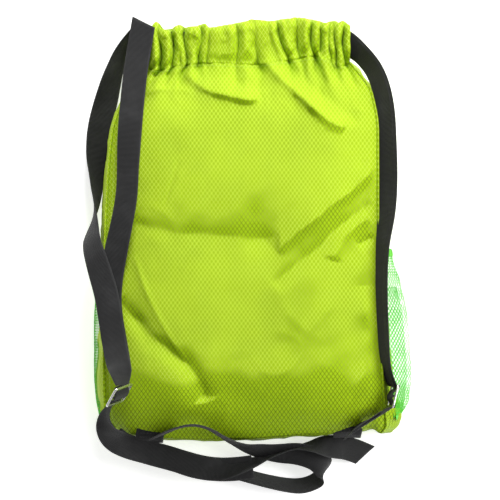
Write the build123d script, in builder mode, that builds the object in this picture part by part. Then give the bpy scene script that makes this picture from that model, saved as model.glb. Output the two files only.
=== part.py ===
from build123d import *

import math
import os

os.makedirs("parts", exist_ok=True)

# A drawstring backpack lying on its front panel, straps upwards. X runs across the bag,
# +Y towards its mouth and +Z out of the back panel. The front panel rests on z = 0.
# All sizes are in millimetres.

# ---- driving dimensions ----
fabric = 2.5  # every soft wall stands for one or two plies of coated nylon
seam_gap = 0.3  # clear space between neighbouring soft walls
webbing_width = 25.0
webbing_thick = 1.4
bag_end = -214.0  # the y of the bottom panel's inner face
neck_end = 176.0  # where the panels meet the drawstring channels
mouth_end = 217.0

# The filled bag, station by station: y, the left and right foot of the gussets on the ground,
# the left and right shoulder, the height of the shoulders and the height of the crown.
stations = [
    (bag_end, -146, 148, -140, 136, 34, 42),
    (-205, -151, 154, -147, 141, 41, 53),
    (-185, -154, 152, -150, 139, 52, 68),
    (-140, -154, 146, -151, 136, 61, 81),
    (-60, -153, 138, -151, 134, 62, 84),
    (30, -150, 134, -148, 132, 62, 84),
    (100, -143, 133, -142, 132, 58, 77),
    (140, -129, 128, -128, 126, 50, 62),
    (neck_end, -104, 104, -103, 103, 36, 39.5),
]
gusset_bulge = 3.0

# Drawstring channels: a flat tube along the top of the back panel and one along the front.
channel_half = 104.0
channel_high = 14.0
channel_round = 5.5
channel_bottoms = {"back": 26.0, "front": 0.0}
channel_y = (neck_end + mouth_end) / 2
channel_length = mouth_end - neck_end
drawstring_half = 116.0

# Mesh pockets on the gussets: y, the outermost x on the left and on the right.
pocket_low, pocket_high = 6.0, 40.0
pocket_gap = 3.0
pocket_stations = [
    (-198, -164, 157),
    (-177, -168, 166.5),
    (-152, -169, 169.5),
    (-110, -168, 167.5),
    (-57, -166, 159),
    (-28, -164, 149),
]
elastic_thick = 3.0
elastic_high = 8.0
elastic_proud = 0.4

# Tri-glide sliders: across the strap, along the strap, and the three bars.
slider_wide, slider_long, slider_thick = 31.0, 25.0, 2.2
slot_wide, slot_long = 26.0, 8.0
slot_offset = 5.5
bar_round = 0.9
slider_radius, slot_radius = 3.5, 1.0
# The webbing threaded through a slider, from its middle outwards: where it leaves the middle bar,
# where it is down at the end bars, where it ends, how far it rises and the radius of its bends.
fold_crest, fold_foot, fold_reach, fold_rise, fold_radius = 2.6, 7.6, 12.0, 2.4, 1.6

# Anchor tabs on the bottom seam.
tab_wide, tab_thick, tab_high, tab_z, tab_round = 30.0, 3.0, 24.0, 24.0, 2.0
tab_centres = {"left": -105.0, "right": 101.0}

# ---- routes of the webbing, as centre lines ----
left_strap_inner_route = [
    (-118.5, 211, 36.5),
    (-118, 190, 41),
    (-119.6, 165, 56),
    (-122.7, 134, 68),
    (-126, 104, 74),
    (-128, 70, 76.5),
    (-130, 36, 76.5),
    (-133.5, 8, 75),
    (-139.5, -24, 72.4),
    (-144.2, -52, 70.6),
    (-145.6, -80, 70),
    (-140.4, -122, 70),
    (-135.6, -160, 70),
]
left_strap_outer_route = [
    (-119.5, 205, 18),
    (-134, 188, 17),
    (-144, 162, 14),
    (-152, 132, 11),
    (-159.5, 105, 8),
    (-163.5, 78, 6),
    (-165, 50, 7),
    (-167, 24, 16),
    (-169, 2, 36),
    (-168, -14, 66),
    (-158.5, -37, 78),
    (-147.2, -70, 76.5),
    (-142, -108, 74.5),
    (-137.5, -146, 74),
    (-134.9, -184, 74),
]
left_tail_route = [
    (-135.4, -184.6, 69.5),
    (-149, -193, 68),
    (-154.5, -208, 62),
    (-149, -224, 52),
    (-134, -235, 42),
    (-110, -241, 36),
    (-82, -246, 33),
    (-55, -254, 31),
    (-28, -255, 31),
    (2, -248, 31),
    (28, -238, 31),
    (50, -232, 31),
    (70, -233, 30),
    (88, -233.5, 24),
    (104, -234, 12),
    (121.5, -239, 4),
]
left_lower_run_route = [
    (-98, -222, 66),
    (-88, -214, 74),
    (-76, -206, 80),
    (-60, -202, 82),
    (-44, -206, 76),
    (-29, -215, 60),
    (-14, -225, 36),
    (6, -232, 15),
    (32, -236, 14.5),
    (56, -239, 14.5),
    (73, -243, 14.5),
    (82, -253, 14.5),
    (77, -264.5, 14.5),
    (62, -270, 14.5),
    (40, -269.5, 14.5),
    (14, -265, 14),
    (-16, -258, 14),
]
left_upper_run_route = [
    (-17, -257.8, 27.6),
    (-46, -255, 27.6),
    (-78, -248.5, 28.6),
    (-107, -243.6, 31),
    (-134, -238, 36),
    (-150.5, -226, 46),
    (-157.5, -209, 54),
    (-153, -194, 59),
    (-142, -186.6, 61.5),
]
right_strap_outer_route = [
    (118, 203, 41),
    (125, 190, 46),
    (133, 173, 53),
    (139.5, 152, 58),
    (143, 126, 61),
    (144, 92, 63),
    (143.6, 56, 65),
    (140, 20, 68),
    (133, -12, 71),
    (128.8, -44, 73),
    (127.6, -84, 73),
    (127.8, -124, 73),
    (129, -165, 73),
]
layer_drop = (-1.8, 0, -2.6)  # from the outer to the inner layer of the right strap
right_adjuster_route = [
    (92, -222.6, 56),
    (100, -217, 70),
    (108, -209, 78),
    (118, -200.5, 80.5),
    (126, -194.5, 81),
    (133, -190, 80.5),
]
right_tail_route = [
    (129, -187, 61),
    (122, -194, 59.4),
    (112, -200, 58.6),
    (101, -205, 58),
]
right_lean = 35.0  # degrees that the right strap tips outwards over the shoulder
guide_height = 100.0  # a copy of each route this far above it keeps the webbing from rolling
corner_share = 0.45  # how much of the shorter run beside a corner its arc may take up

# ---- slider places: the centre, the direction across the strap and the one along it ----
left_slider_centre = (-134.4, -171.1, 93.5)
left_across, left_along = (17.5, 6.0, -24.9), (-10.5, -19.0, -11.96)
right_slider_centre = (147.5, -173.0, 62.0)
right_across, right_along = (-6.1, -1.0, -30.4), (-5.6, -24.2, 1.9)


def unit(vector):
    return Vector(*vector).normalized()


def corner_radii(route):
    """The largest even arc at each corner, from the shorter run beside it and half the turn."""
    radii = []
    for before, corner, after in zip(route, route[1:], route[2:]):
        run_in = Vector(*corner) - Vector(*before)
        run_out = Vector(*after) - Vector(*corner)
        half_turn = math.radians(run_in.get_angle(run_out)) / 2
        radii.append(corner_share * min(run_in.length, run_out.length) / math.tan(half_turn))
    return radii


def build_webbing(name, route, on_edge=False, lean=0.0):
    """One run of flat webbing along a route: level, on its edge, or leaning by some degrees."""
    radii = corner_radii(route)
    heading = Vector(*route[1]) - Vector(*route[0])
    heading = Vector(heading.X, heading.Y, 0).normalized()
    sideways = Vector(heading.Y, -heading.X, 0)
    size = (webbing_thick, webbing_width) if on_edge else (webbing_width, webbing_thick)
    with BuildLine() as guide:
        FilletPolyline(*[(x, y, z + guide_height) for x, y, z in route], radius=radii)
    with BuildPart() as webbing:
        with BuildLine() as line:
            FilletPolyline(*route, radius=radii)
        with BuildSketch(Plane(origin=route[0], x_dir=sideways, z_dir=heading)):
            Rectangle(*size, rotation=lean)
        sweep(path=line.wires()[0], binormal=guide.wires()[0])
    length = line.wires()[0].length
    print(name, "volume", round(webbing.part.volume), "of", round(length * size[0] * size[1]))
    print(name, "length", round(length, 1), "radii", [round(r) for r in radii])
    return webbing


def station_plane(y):
    """Across the bag at y, with the sketch's x along X and its y along Z."""
    return Plane(origin=(0, y, 0), x_dir=(1, 0, 0), z_dir=(0, -1, 0))


def strip(outer, inner):
    """A closed strip between two three-point arcs, as a face of the active sketch."""
    with BuildLine() as outline:
        ThreePointArc(*outer)
        Line(outer[2], inner[2])
        ThreePointArc(inner[2], inner[1], inner[0])
        Line(inner[0], outer[0])
    make_face(outline.edges())


def gusset_points(station, side, inset):
    """Foot, bulge and head of a gusset's wall, moved into the bag by the inset."""
    _, foot_left, foot_right, left, right, shoulder, _ = station
    foot, head, out = (foot_left, left, -1) if side == "left" else (foot_right, right, 1)
    low = fabric + seam_gap
    high = shoulder - fabric - seam_gap
    middle = (foot + head) / 2 + out * gusset_bulge
    return [(foot - out * inset, low), (middle - out * inset, (low + high) / 2), (head - out * inset, high)]


def gusset_x(y, z, side):
    """How far out the gusset's skin lies at y and z."""
    below = max((s for s in stations if s[0] <= y), key=lambda s: s[0])
    above = min((s for s in stations if s[0] >= y), key=lambda s: s[0])
    share = (y - below[0]) / max(above[0] - below[0], 1e-6)
    blend = [a + (b - a) * share for a, b in zip(below, above)]
    foot, middle, head = gusset_points(blend, side, 0)
    rise = min(max((z - foot[1]) / (head[1] - foot[1]), 0), 1)
    bulge = middle[0] - (foot[0] + head[0]) / 2
    return foot[0] + (head[0] - foot[0]) * rise + bulge * (1 - (2 * rise - 1) ** 2)


# ---- back panel: one crowned sheet from gusset to gusset ----
with BuildPart() as back_panel:
    for y, _, _, left, right, shoulder, crown in stations:
        middle = (left + right) / 2
        with BuildSketch(station_plane(y)):
            strip(
                [(left, shoulder), (middle, crown), (right, shoulder)],
                [(left, shoulder - fabric), (middle, crown - fabric), (right, shoulder - fabric)],
            )
    loft()

# ---- front panel: flat on the ground, with the outline of the gussets' feet ----
with BuildPart() as front_panel:
    with BuildSketch():
        with BuildLine():
            left_edge = Spline(*[(s[1], s[0]) for s in stations])
            right_edge = Spline(*[(s[2], s[0]) for s in stations])
            Line(left_edge @ 0, right_edge @ 0)
            Line(left_edge @ 1, right_edge @ 1)
        make_face()
    extrude(amount=fabric)


def build_gusset(side):
    """One side wall, from the front panel up to the back panel."""
    with BuildPart() as gusset:
        for station in stations:
            with BuildSketch(station_plane(station[0])):
                strip(gusset_points(station, side, 0), gusset_points(station, side, fabric))
        loft()
    return gusset


left_gusset = build_gusset("left")
right_gusset = build_gusset("right")

# ---- bottom panel: closes the end of the bag ----
with BuildPart() as bottom_panel:
    _, foot_left, foot_right, left, right, shoulder, crown = stations[0]
    with BuildSketch(station_plane(bag_end - seam_gap)):
        with BuildLine():
            Polyline((left, shoulder), (foot_left, 0), (foot_right, 0), (right, shoulder))
            ThreePointArc((right, shoulder), ((left + right) / 2, crown), (left, shoulder))
        make_face()
    extrude(amount=fabric)


def build_channel(bottom):
    """A sewn tube for the drawstring, open at both ends."""
    centre = (-channel_half, channel_y, bottom + channel_high / 2)
    inside = (channel_length - 2 * fabric, channel_high - 2 * fabric)
    with BuildPart() as channel:
        with BuildSketch(Plane(origin=centre, x_dir=(0, 1, 0), z_dir=(1, 0, 0))):
            RectangleRounded(channel_length, channel_high, channel_round)
            RectangleRounded(*inside, channel_round - fabric, mode=Mode.SUBTRACT)
        extrude(amount=2 * channel_half)
    return channel


back_channel = build_channel(channel_bottoms["back"])
front_channel = build_channel(channel_bottoms["front"])


def pocket_ring(y, outermost, side, thick, proud=0.0):
    """The section of a pocket at y: an arc from the gusset's foot out and back to its shoulder."""
    out = -1 if side == "left" else 1
    low, high = pocket_low - proud, pocket_high + proud
    outer = [
        (gusset_x(y, low, side) + out * pocket_gap, low),
        (outermost + out * proud, (low + high) / 2),
        (gusset_x(y, high, side) + out * pocket_gap, high),
    ]
    inner = [
        (gusset_x(y, low + thick, side) + out * pocket_gap, low + thick),
        (outermost + out * (proud - thick), (low + high) / 2),
        (gusset_x(y, high - thick, side) + out * pocket_gap, high - thick),
    ]
    return outer, inner


def build_pocket(side):
    """A net pocket with the gusset as its back: bulging wall and closed foot, open at the top."""
    rings = []
    for y, left, right in pocket_stations:
        rings.append((y, *pocket_ring(y, left if side == "left" else right, side, fabric)))
    foot_y, foot_outer, foot_inner = rings[0]
    foot_z = foot_outer[1][1]
    foot_back = (gusset_x(foot_y, foot_z, side) + (-pocket_gap if side == "left" else pocket_gap), foot_z)
    with BuildPart() as pocket:
        for y, outer, inner in rings:
            with BuildSketch(station_plane(y)):
                strip(outer, inner)
        loft()
        with BuildSketch(station_plane(foot_y)):
            with BuildLine():
                ThreePointArc(*foot_outer)
                ThreePointArc(foot_outer[2], foot_back, foot_outer[0])
            make_face()
        extrude(amount=fabric)
    return pocket


def build_elastic(side):
    """The elastic binding on a pocket's rim."""
    y, left, right = pocket_stations[-1]
    rim = pocket_ring(y, left if side == "left" else right, side, elastic_thick, proud=elastic_proud)
    with BuildPart() as elastic:
        with BuildSketch(station_plane(y)):
            strip(*rim)
        extrude(amount=-elastic_high)
    return elastic


left_mesh_pocket = build_pocket("left")
right_mesh_pocket = build_pocket("right")
left_pocket_elastic = build_elastic("left")
right_pocket_elastic = build_elastic("right")


def build_drawstring(bottom):
    """The stretch of webbing inside a channel, with an end standing out on each side."""
    centre = (-drawstring_half, channel_y, bottom + channel_high / 2)
    with BuildPart() as drawstring:
        with BuildSketch(Plane(origin=centre, x_dir=(0, 1, 0), z_dir=(1, 0, 0))):
            Rectangle(webbing_width, webbing_thick)
        extrude(amount=2 * drawstring_half)
    return drawstring


back_drawstring = build_drawstring(channel_bottoms["back"])
front_drawstring = build_drawstring(channel_bottoms["front"])

# ---- straps, adjusting webbing and tails ----
right_strap_inner_route = [
    tuple(Vector(*point) + Vector(*layer_drop)) for point in right_strap_outer_route
]
left_strap_inner = build_webbing("left_strap_inner", left_strap_inner_route)
left_strap_outer = build_webbing("left_strap_outer", left_strap_outer_route)
left_tail = build_webbing("left_tail", left_tail_route)
left_lower_run = build_webbing("left_lower_run", left_lower_run_route, on_edge=True)
left_upper_run = build_webbing("left_upper_run", left_upper_run_route)
right_strap_outer = build_webbing("right_strap_outer", right_strap_outer_route, lean=-right_lean)
right_strap_inner = build_webbing("right_strap_inner", right_strap_inner_route, lean=-right_lean)
right_adjuster_webbing = build_webbing("right_adjuster_webbing", right_adjuster_route, on_edge=True)
right_tail = build_webbing("right_tail", right_tail_route)


def build_tab(side):
    """A folded patch sewn into the bottom seam, which holds the end of the adjusting webbing."""
    centre = (tab_centres[side], bag_end - seam_gap - fabric, tab_z)
    with BuildPart() as tab:
        with BuildSketch(Plane(origin=centre, x_dir=(1, 0, 0), z_dir=(0, -1, 0))):
            RectangleRounded(tab_wide, tab_high, tab_round)
        extrude(amount=tab_thick)
    return tab


left_anchor_tab = build_tab("left")
right_anchor_tab = build_tab("right")


def build_slider(centre, across, along):
    """A tri-glide: a frame with a bar across its middle, all its bars rounded."""
    normal = unit(along).cross(unit(across))
    with BuildPart() as slider:
        with BuildSketch(Plane(origin=centre, x_dir=unit(across), z_dir=normal)):
            RectangleRounded(slider_wide, slider_long, slider_radius)
            with Locations((0, slot_offset), (0, -slot_offset)):
                RectangleRounded(slot_wide, slot_long, slot_radius, mode=Mode.SUBTRACT)
        extrude(amount=slider_thick / 2, both=True)
        fillet(slider.edges(), bar_round)
    return slider


def build_slider_webbing(centre, across, along):
    """The webbing threaded through a slider: under the end bars and over the middle one."""
    up = 1 if unit(along).cross(unit(across)).Z > 0 else -1
    half = [(fold_reach, -fold_rise), (fold_foot, -fold_rise), (fold_crest, fold_rise)]
    profile = [(-x, up * z) for x, z in half] + [(x, up * z) for x, z in reversed(half)]
    with BuildPart() as fold:
        with BuildSketch(Plane(origin=centre, x_dir=unit(along), z_dir=-unit(across))):
            with BuildLine():
                FilletPolyline(*profile, radius=fold_radius)
            trace(line_width=webbing_thick)
        extrude(amount=webbing_width / 2, both=True)
    return fold


left_slider = build_slider(left_slider_centre, left_across, left_along)
right_slider = build_slider(right_slider_centre, right_across, right_along)
left_slider_webbing = build_slider_webbing(left_slider_centre, left_across, left_along)
right_slider_webbing = build_slider_webbing(right_slider_centre, right_across, right_along)

# ---- names and files ----
nodes = {
    "back_panel": back_panel,
    "front_panel": front_panel,
    "left_gusset": left_gusset,
    "right_gusset": right_gusset,
    "bottom_panel": bottom_panel,
    "back_channel": back_channel,
    "front_channel": front_channel,
    "left_mesh_pocket": left_mesh_pocket,
    "right_mesh_pocket": right_mesh_pocket,
    "left_pocket_elastic": left_pocket_elastic,
    "right_pocket_elastic": right_pocket_elastic,
    "back_drawstring": back_drawstring,
    "front_drawstring": front_drawstring,
    "left_strap_inner": left_strap_inner,
    "left_strap_outer": left_strap_outer,
    "right_strap_inner": right_strap_inner,
    "right_strap_outer": right_strap_outer,
    "left_tail": left_tail,
    "right_tail": right_tail,
    "left_lower_run": left_lower_run,
    "left_upper_run": left_upper_run,
    "right_adjuster_webbing": right_adjuster_webbing,
    "left_anchor_tab": left_anchor_tab,
    "right_anchor_tab": right_anchor_tab,
    "left_slider": left_slider,
    "right_slider": right_slider,
    "left_slider_webbing": left_slider_webbing,
    "right_slider_webbing": right_slider_webbing,
}
for name, node in nodes.items():
    node.part.label = name
    export_step(node.part, f"parts/{name}.step")
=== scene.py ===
import math

import bpy
import numpy as np
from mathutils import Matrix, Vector, noise


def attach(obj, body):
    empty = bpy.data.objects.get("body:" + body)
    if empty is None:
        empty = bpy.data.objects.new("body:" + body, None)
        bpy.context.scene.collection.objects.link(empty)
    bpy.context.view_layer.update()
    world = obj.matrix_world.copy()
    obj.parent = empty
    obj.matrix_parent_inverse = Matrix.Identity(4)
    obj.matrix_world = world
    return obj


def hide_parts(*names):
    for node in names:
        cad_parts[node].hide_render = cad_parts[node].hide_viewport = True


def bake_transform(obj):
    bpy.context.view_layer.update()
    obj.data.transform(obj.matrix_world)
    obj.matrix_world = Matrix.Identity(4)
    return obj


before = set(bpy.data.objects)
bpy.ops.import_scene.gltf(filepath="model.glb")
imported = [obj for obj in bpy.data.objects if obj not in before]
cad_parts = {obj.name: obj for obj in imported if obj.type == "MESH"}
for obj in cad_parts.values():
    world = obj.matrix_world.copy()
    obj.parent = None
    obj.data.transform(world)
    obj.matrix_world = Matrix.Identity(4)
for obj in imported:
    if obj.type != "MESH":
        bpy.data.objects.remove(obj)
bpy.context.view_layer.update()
scene = bpy.context.scene
MM = 0.001
WIDE = 0.025  # every webbing run is 25 mm wide
THICK = 0.0014  # and 1.4 mm thick
HALF_WIDE = 12.5  # the webbing's half width in mm, on the flat cloth

# ---- camera: straight above, the frame 0.52 m square ----
camera = bpy.data.objects.new("camera", bpy.data.cameras.new("camera"))
scene.collection.objects.link(camera)
camera.location = (0, -0.0218, 5.0)
camera.data.sensor_width = 36
camera.data.lens = 343.4
scene.camera = camera
scene.view_settings.view_transform = "Standard"


# ---- helpers: numbers ----
def smooth_at(knots, values, at):
    """A monotone cubic through the knots, so a table of stations gives a fair line."""
    knots, values, at = (np.asarray(a, float) for a in (knots, values, at))
    step = np.diff(knots)
    rise = np.diff(values) / step
    slope = np.zeros(len(knots))
    slope[0], slope[-1] = rise[0], rise[-1]
    for i in range(1, len(knots) - 1):
        if rise[i - 1] * rise[i] > 0:
            w1, w2 = 2 * step[i] + step[i - 1], step[i] + 2 * step[i - 1]
            slope[i] = (w1 + w2) / (w1 / rise[i - 1] + w2 / rise[i])
    i = np.clip(np.searchsorted(knots, at, side="right") - 1, 0, len(knots) - 2)
    t = np.clip((at - knots[i]) / step[i], 0, 1)
    return (
        values[i] * (1 + 2 * t) * (1 - t) ** 2
        + slope[i] * step[i] * t * (1 - t) ** 2
        + values[i + 1] * t * t * (3 - 2 * t)
        + slope[i + 1] * step[i] * t * t * (t - 1)
    )


def table_at(rows, column, at):
    """One column of a table of stations, at any place between them."""
    return smooth_at([r[0] for r in rows], [r[column] for r in rows], at)


def soft_noise(points, size, seed):
    """Smooth noise between -1 and 1 at each point; points and size in mm."""
    flat = np.asarray(points, float).reshape(-1, 3) / size + seed
    values = np.array([noise.noise(Vector(p)) for p in flat])
    return values.reshape(np.shape(points)[:-1])


def crumple(points, size, seed):
    """Sharp small folds, as coated nylon keeps them: 0 on the flats and 1 on a crease."""
    return np.clip(1 - 3.2 * np.abs(soft_noise(points, size, seed)), 0, 1) ** 2


def distance_to(x, y, line):
    """Distance from each point to a line of points, the side it is on, and how far along it lies."""
    best = np.full(np.shape(x), 1e9)
    side = np.zeros(np.shape(x))
    share = np.zeros(np.shape(x))
    total = len(line) - 1
    for i in range(total):
        (ax, ay), (bx, by) = line[i], line[i + 1]
        dx, dy = bx - ax, by - ay
        t = np.clip(((x - ax) * dx + (y - ay) * dy) / (dx * dx + dy * dy), 0, 1)
        gap = np.hypot(x - ax - t * dx, y - ay - t * dy)
        near = gap < best
        best = np.where(near, gap, best)
        side = np.where(near, np.sign(dx * (y - ay) - dy * (x - ax)), side)
        share = np.where(near, (i + t) / total, share)
    return best, side, share


def smooth_line(line, rounds=3):
    """The same line with its corners cut, for folds that curve."""
    for _ in range(rounds):
        cut = [line[0]]
        for (ax, ay), (bx, by) in zip(line, line[1:]):
            cut.append((0.75 * ax + 0.25 * bx, 0.75 * ay + 0.25 * by))
            cut.append((0.25 * ax + 0.75 * bx, 0.25 * ay + 0.75 * by))
        line = cut + [line[-1]]
    return line


# ---- helpers: meshes ----
def add_mesh(name, verts, faces, weave=None):
    """A smooth mesh object; weave is the place of each point on the flat cloth, in mm."""
    mesh = bpy.data.meshes.new(name)
    mesh.from_pydata([tuple(v) for v in np.asarray(verts, float).reshape(-1, 3)], [], faces)
    if weave is not None:
        layer = mesh.attributes.new("weave", "FLOAT_VECTOR", "POINT")
        layer.data.foreach_set("vector", np.asarray(weave, np.float32).ravel())
    mesh.validate()
    mesh.shade_smooth()
    obj = bpy.data.objects.new(name, mesh)
    scene.collection.objects.link(obj)
    return obj


def grid_faces(rows, columns, flip=False):
    faces = []
    for j in range(rows - 1):
        for i in range(columns - 1):
            a = j * columns + i
            quad = (a, a + 1, a + columns + 1, a + columns)
            faces.append(quad[::-1] if flip else quad)
    return faces


def tube_faces(rings, count, flip=False):
    """The faces between neighbouring rings of points, each ring closed on itself."""
    faces = []
    for i in range(rings - 1):
        for k in range(count):
            a, b = i * count + k, i * count + (k + 1) % count
            faces.append((a, a + count, b + count, b) if flip else (a, b, b + count, a + count))
    return faces


def dress(obj, body, material, nodes=()):
    """Give a piece its material and slot, hide the CAD nodes that it stands for, and attach it to the body
    that it rides on.
    The body is None for a piece that two bodies share."""
    obj.data.materials.append(material)
    if body:
        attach(obj, body)
    if nodes:
        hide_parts(*nodes)
    return obj


def cloth_piece(name, points, weave, nodes=(), flip=False, thick=0.0007):
    """A sheet of the bag's nylon from a grid of points in mm, given its thickness."""
    rows, columns = points.shape[:2]
    flat = np.zeros((rows, columns, 3))
    flat[..., :2] = weave
    obj = add_mesh(name, points * MM, grid_faces(rows, columns, flip), flat)
    solid = obj.modifiers.new("thickness", "SOLIDIFY")
    solid.thickness = thick
    solid.offset = -1
    return dress(obj, "bag", shell_cloth, nodes)


# ---- helpers: materials ----
class Shader:
    """A node material being built; each call adds a node and returns its output."""

    def __init__(self, name, **fixed):
        self.material = bpy.data.materials.new(name)
        self.material.use_nodes = True
        self.tree = self.material.node_tree
        self.surface = self.tree.nodes["Principled BSDF"]
        for socket, value in fixed.items():
            self.surface.inputs[socket.replace("_", " ")].default_value = value

    def node(self, kind, inputs=(), output=0, **settings):
        made = self.tree.nodes.new(kind)
        for key, value in settings.items():
            setattr(made, key, value)
        for key, value in dict(inputs).items():
            if isinstance(value, bpy.types.NodeSocket):
                self.tree.links.new(value, made.inputs[key])
            else:
                made.inputs[key].default_value = value
        return made.outputs[output]

    def math(self, operation, a, b=0.0, c=0.0):
        return self.node("ShaderNodeMath", {0: a, 1: b, 2: c}, operation=operation)

    def parts(self, vector):
        made = self.tree.nodes.new("ShaderNodeSeparateXYZ")
        self.tree.links.new(vector, made.inputs[0])
        return made.outputs

    def weave(self):
        """The place on the flat cloth, in mm: across and along."""
        place = self.parts(self.node("ShaderNodeAttribute", output="Vector", attribute_name="weave"))
        return place[0], place[1]

    def where(self):
        return self.node("ShaderNodeTexCoord", output="Object")

    def fade(self, value, low, high, first=1.0, last=0.0):
        return self.node(
            "ShaderNodeMapRange",
            {"Value": value, "From Min": low, "From Max": high, "To Min": first, "To Max": last},
            interpolation_type="SMOOTHSTEP",
        )

    def clouds(self, scale, detail=3.0, rough=0.5):
        return self.node(
            "ShaderNodeTexNoise",
            {"Vector": self.where(), "Scale": scale, "Detail": detail, "Roughness": rough},
            output="Fac",
        )

    def mix(self, factor, first, second):
        made = self.tree.nodes.new("ShaderNodeMix")
        made.data_type = "RGBA"
        for key, value in ((0, factor), (6, first), (7, second)):
            if isinstance(value, bpy.types.NodeSocket):
                self.tree.links.new(value, made.inputs[key])
            else:
                made.inputs[key].default_value = value
        return made.outputs[2]

    def wire(self, **links):
        for socket, value in links.items():
            self.tree.links.new(value, self.surface.inputs[socket.replace("_", " ")])

    def bump(self, height, distance, strength=1.0):
        normal = self.node(
            "ShaderNodeBump",
            {"Height": height, "Distance": distance, "Strength": strength},
            output="Normal",
        )
        self.wire(Normal=normal)


def ripstop_material(name, base, light, dark):
    """Coated nylon with a diamond lattice of thicker threads. The threads carry a painted highlight where
    the cloth tilts towards +y and painted shade where it tilts away.
    """
    cell_across, cell_along = 4.4, 6.1  # one diamond, in mm
    thread_core, thread_edge = 0.025, 0.10  # shares of a diamond
    yarn = 9.0  # the plain weave between the threads, in radians per mm
    s = Shader(name, Roughness=0.5, Sheen_Weight=0.02, Sheen_Roughness=0.4, Specular_IOR_Level=0.1)
    across, along = s.weave()
    p = s.math("DIVIDE", across, cell_across)
    q = s.math("DIVIDE", along, cell_along)
    threads = []
    for way in ("ADD", "SUBTRACT"):
        near = s.math("PINGPONG", s.math(way, p, q), 0.5)
        threads.append(s.fade(near, thread_core, thread_edge))
    lattice = s.math("MAXIMUM", *threads)
    # Painted light: the threads' colour goes from painted shade to painted highlight as the surface normal
    # turns towards +y (and a little towards -x), where the key lamp stands.
    slope = s.parts(s.node("ShaderNodeNewGeometry", output="Normal"))
    facing = s.math("MULTIPLY_ADD", slope[0], -0.15, slope[1])
    facing = s.math("MULTIPLY_ADD", s.clouds(18.0), 0.5, facing)
    shine = s.fade(facing, 0.04, 0.25, 0.0, 1.0)
    warp = s.math("SINE", s.math("MULTIPLY", across, yarn))
    weft = s.math("SINE", s.math("MULTIPLY", along, yarn))
    plain = s.math("MULTIPLY", warp, weft)
    patches = s.fade(s.clouds(14.0), 0.35, 0.7, 0.0, 1.0)
    tone = s.mix(patches, (*base, 1), (*dark, 1))
    # The threads' painted shade: a darker copy of the dark lime.
    shaded = (dark[0] * 0.40, dark[1] * 0.42, dark[2] * 0.40, 1)
    thread = s.mix(shine, shaded, (*light, 1))
    s.wire(Base_Color=s.mix(s.math("MULTIPLY", lattice, 0.95), tone, thread))
    s.wire(Roughness=s.fade(s.clouds(60.0), 0.3, 0.7, 0.42, 0.6))
    height = s.math("MULTIPLY_ADD", plain, 0.12, lattice)
    s.bump(s.math("MULTIPLY_ADD", s.clouds(220.0, 4.0), 0.5, height), 0.0006, 1.0)
    return s.material


def webbing_material(name, base, wear_and_highlight, rib=1.25):
    """Ribbed webbing with thicker edges, paler where it is rubbed, and with a painted highlight along the
    crest of each rib. rib is the distance between ribs, in mm.
    """
    herringbone, cord_gap = 1.4, 0.9  # mm
    edge_from, edge_to = 10.6, 11.6  # mm from the middle
    s = Shader(name, Roughness=0.72, Sheen_Weight=0.1, Sheen_Roughness=0.5, Specular_IOR_Level=0.22)
    across, along = s.weave()
    lean = s.math("PINGPONG", across, herringbone)
    slanted = s.math("MULTIPLY_ADD", lean, 0.12, along)
    ribs = s.math("SINE", s.math("MULTIPLY", slanted, 2 * math.pi / rib))
    cords = s.math("SINE", s.math("MULTIPLY", across, 2 * math.pi / cord_gap))
    selvage = s.fade(s.math("ABSOLUTE", across), edge_from, edge_to, 0.0, 1.0)
    fibres = s.clouds(900.0, 2.0)
    rubbed = s.math("MULTIPLY_ADD", selvage, 0.25, s.clouds(30.0, 5.0, 0.6))
    wear = s.fade(rubbed, 0.45, 0.85, 0.0, 1.0)
    tone = s.mix(s.math("MULTIPLY", wear, 0.7), (*base, 1), (*wear_and_highlight, 1))
    # Painted highlight: the crest of each rib is mixed towards the paler colour, as if lit. The same pale
    # colour is the rubbed wear above.
    lit = s.math("MULTIPLY", s.fade(ribs, -0.6, 0.9, 0.0, 1.0), 0.35)
    s.wire(Base_Color=s.mix(lit, tone, (*wear_and_highlight, 1)))
    height = s.math("MULTIPLY_ADD", cords, 0.35, ribs)
    height = s.math("MULTIPLY_ADD", fibres, 0.8, height)
    s.bump(s.math("MULTIPLY_ADD", selvage, 1.2, height), 0.00022, 0.9)
    return s.material


def metal_material(name):
    s = Shader(name, Metallic=1.0, Roughness=0.24)
    scratch = s.clouds(700.0, 4.0, 0.7)
    s.wire(Base_Color=s.mix(s.clouds(90.0), (0.80, 0.80, 0.78, 1), (0.56, 0.56, 0.55, 1)))
    s.wire(Roughness=s.fade(scratch, 0.3, 0.75, 0.16, 0.38))
    s.bump(scratch, 0.00008, 0.5)
    return s.material


def thread_material(name, base, dark):
    s = Shader(name, Roughness=0.6, Sheen_Weight=0.2, Sheen_Roughness=0.4)
    twist = s.node(
        "ShaderNodeTexWave",
        {"Vector": s.where(), "Scale": 900.0, "Distortion": 2.0},
        output="Fac",
        bands_direction="DIAGONAL",
    )
    s.wire(Base_Color=s.mix(twist, (*base, 1), (*dark, 1)))
    s.bump(twist, 0.0001, 0.8)
    return s.material


LIME = (0.41, 0.62, 0.008)
# The pale lime is the threads' painted highlight. The dark lime is the cloth's darker patches and, darkened
# further, the threads' painted shade.
LIME_PAINTED_HIGHLIGHT = (0.78, 0.98, 0.12)
LIME_DARK_AND_SHADE = (0.35, 0.54, 0.006)
NET_GREEN = (0.16, 0.90, 0.05)
BLACK = (0.014, 0.014, 0.0145)
# The grey is the black webbing's rubbed wear and also its painted rib highlight.
GREY = (0.040, 0.040, 0.041)

shell_cloth = ripstop_material("ripstop", LIME, LIME_PAINTED_HIGHLIGHT, LIME_DARK_AND_SHADE)
webbing_cloth = webbing_material("webbing", BLACK, GREY)
net_cloth = thread_material("net_thread", NET_GREEN, (0.08, 0.62, 0.03))
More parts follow.
